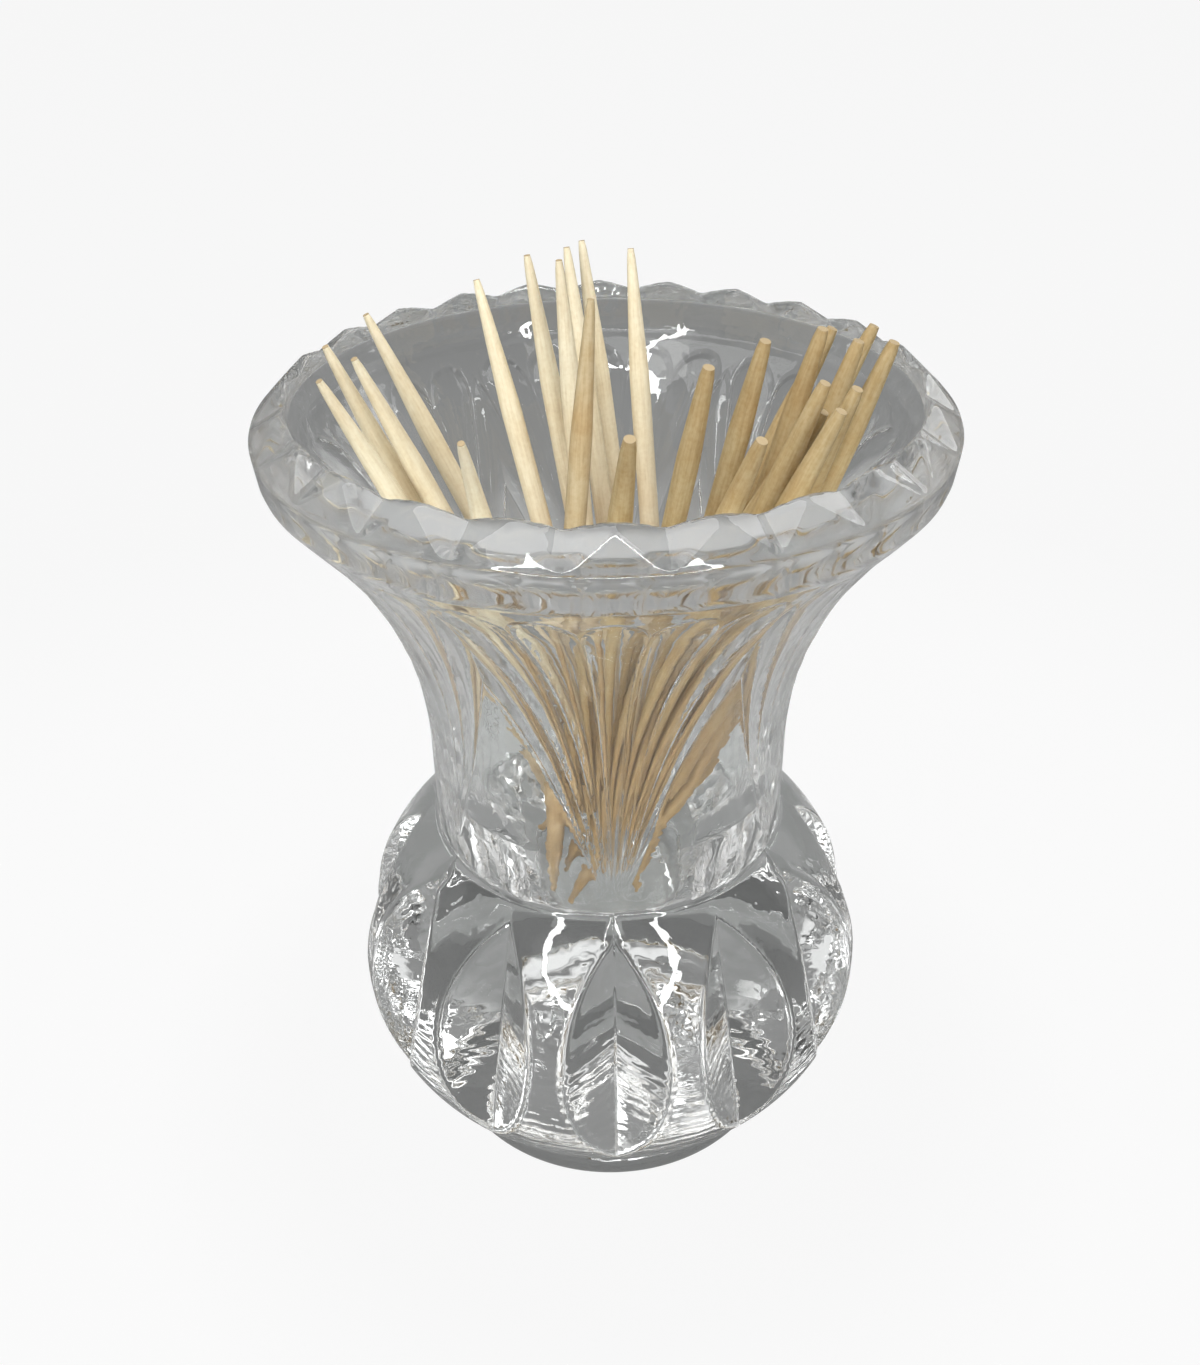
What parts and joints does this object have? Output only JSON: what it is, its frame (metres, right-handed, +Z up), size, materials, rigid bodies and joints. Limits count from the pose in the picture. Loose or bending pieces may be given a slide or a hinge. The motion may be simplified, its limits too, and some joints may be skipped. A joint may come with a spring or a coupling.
{
  "type": "toothpick holder",
  "caption": "Footed clear glass holder with a notched flared rim and a mitre-cut bulb, filled with loose wooden toothpicks that lift out one by one.",
  "frame": {"origin": "centre of the foot at table height", "axes": "+Z up along the turning axis, -Y towards the front of the picture, +X to its right"},
  "size_m": [0.0664, 0.0664, 0.0991],
  "materials": {
    "glass": "clear pressed glass, fire-polished",
    "wood": "bare, smooth turned"
  },
  "bodies": {
    "holder": {"glass_holder": "glass"},
    "pick_01": {"toothpick_01": "wood"},
    "pick_02": {"toothpick_02": "wood"},
    "pick_03": {"toothpick_03": "wood"},
    "pick_04": {"toothpick_04": "wood"},
    "pick_05": {"toothpick_05": "wood"},
    "pick_06": {"toothpick_06": "wood"},
    "pick_07": {"toothpick_07": "wood"},
    "pick_08": {"toothpick_08": "wood"},
    "pick_09": {"toothpick_09": "wood"},
    "pick_10": {"toothpick_10": "wood"},
    "pick_11": {"toothpick_11": "wood"},
    "pick_12": {"toothpick_12": "wood"},
    "pick_13": {"toothpick_13": "wood"},
    "pick_14": {"toothpick_14": "wood"},
    "pick_15": {"toothpick_15": "wood"},
    "pick_16": {"toothpick_16": "wood"},
    "pick_17": {"toothpick_17": "wood"},
    "pick_18": {"toothpick_18": "wood"},
    "pick_19": {"toothpick_19": "wood"},
    "pick_20": {"toothpick_20": "wood"},
    "pick_21": {"toothpick_21": "wood"},
    "pick_22": {"toothpick_22": "wood"},
    "pick_23": {"toothpick_23": "wood"},
    "pick_24": {"toothpick_24": "wood"},
    "pick_25": {"toothpick_25": "wood"}
  },
  "joints": [
    {"name": "pick_01_lift", "type": "slide", "parent": "holder", "child": "pick_01", "axis": [-0.3629, -0.2156, 0.9065], "range_m": [0, 0.068]},
    {"name": "pick_02_lift", "type": "slide", "parent": "holder", "child": "pick_02", "axis": [-0.3249, -0.1735, 0.9297], "range_m": [0, 0.068]},
    {"name": "pick_03_lift", "type": "slide", "parent": "holder", "child": "pick_03", "axis": [-0.3293, -0.2109, 0.9204], "range_m": [0, 0.068]},
    {"name": "pick_04_lift", "type": "slide", "parent": "holder", "child": "pick_04", "axis": [-0.3779, -0.0386, 0.925], "range_m": [0, 0.068]},
    {"name": "pick_05_lift", "type": "slide", "parent": "holder", "child": "pick_05", "axis": [-0.1008, -0.4089, 0.907], "range_m": [0, 0.068]},
    {"name": "pick_06_lift", "type": "slide", "parent": "holder", "child": "pick_06", "axis": [-0.2258, 0.2257, 0.9477], "range_m": [0, 0.068]},
    {"name": "pick_07_lift", "type": "slide", "parent": "holder", "child": "pick_07", "axis": [-0.1508, 0.0761, 0.9856], "range_m": [0, 0.068]},
    {"name": "pick_08_lift", "type": "slide", "parent": "holder", "child": "pick_08", "axis": [-0.0679, 0.0344, 0.9971], "range_m": [0, 0.068]},
    {"name": "pick_09_lift", "type": "slide", "parent": "holder", "child": "pick_09", "axis": [-0.124, 0.1911, 0.9737], "range_m": [0, 0.068]},
    {"name": "pick_10_lift", "type": "slide", "parent": "holder", "child": "pick_10", "axis": [-0.1234, 0.2071, 0.9705], "range_m": [0, 0.068]},
    {"name": "pick_11_lift", "type": "slide", "parent": "holder", "child": "pick_11", "axis": [0.0842, 0.0249, 0.9961], "range_m": [0, 0.068]},
    {"name": "pick_12_lift", "type": "slide", "parent": "holder", "child": "pick_12", "axis": [-0.0652, 0.2471, 0.9668], "range_m": [0, 0.068]},
    {"name": "pick_13_lift", "type": "slide", "parent": "holder", "child": "pick_13", "axis": [0.0709, -0.3639, 0.9287], "range_m": [0, 0.068]},
    {"name": "pick_14_lift", "type": "slide", "parent": "holder", "child": "pick_14", "axis": [0.1398, -0.2143, 0.9667], "range_m": [0, 0.068]},
    {"name": "pick_15_lift", "type": "slide", "parent": "holder", "child": "pick_15", "axis": [0.1733, -0.1813, 0.968], "range_m": [0, 0.068]},
    {"name": "pick_16_lift", "type": "slide", "parent": "holder", "child": "pick_16", "axis": [0.2506, -0.2984, 0.921], "range_m": [0, 0.068]},
    {"name": "pick_17_lift", "type": "slide", "parent": "holder", "child": "pick_17", "axis": [0.2147, -0.1318, 0.9678], "range_m": [0, 0.068]},
    {"name": "pick_18_lift", "type": "slide", "parent": "holder", "child": "pick_18", "axis": [0.3847, -0.0234, 0.9227], "range_m": [0, 0.068]},
    {"name": "pick_19_lift", "type": "slide", "parent": "holder", "child": "pick_19", "axis": [0.2704, -0.0578, 0.961], "range_m": [0, 0.068]},
    {"name": "pick_20_lift", "type": "slide", "parent": "holder", "child": "pick_20", "axis": [0.4048, 0.0157, 0.9143], "range_m": [0, 0.068]},
    {"name": "pick_21_lift", "type": "slide", "parent": "holder", "child": "pick_21", "axis": [0.2995, -0.0971, 0.9491], "range_m": [0, 0.068]},
    {"name": "pick_22_lift", "type": "slide", "parent": "holder", "child": "pick_22", "axis": [0.3041, -0.1527, 0.9403], "range_m": [0, 0.068]},
    {"name": "pick_23_lift", "type": "slide", "parent": "holder", "child": "pick_23", "axis": [0.2959, -0.1763, 0.9388], "range_m": [0, 0.068]},
    {"name": "pick_24_lift", "type": "slide", "parent": "holder", "child": "pick_24", "axis": [0.3383, -0.1739, 0.9248], "range_m": [0, 0.068]},
    {"name": "pick_25_lift", "type": "slide", "parent": "holder", "child": "pick_25", "axis": [0.4078, -0.2117, 0.8882], "range_m": [0, 0.068]}
  ]
}
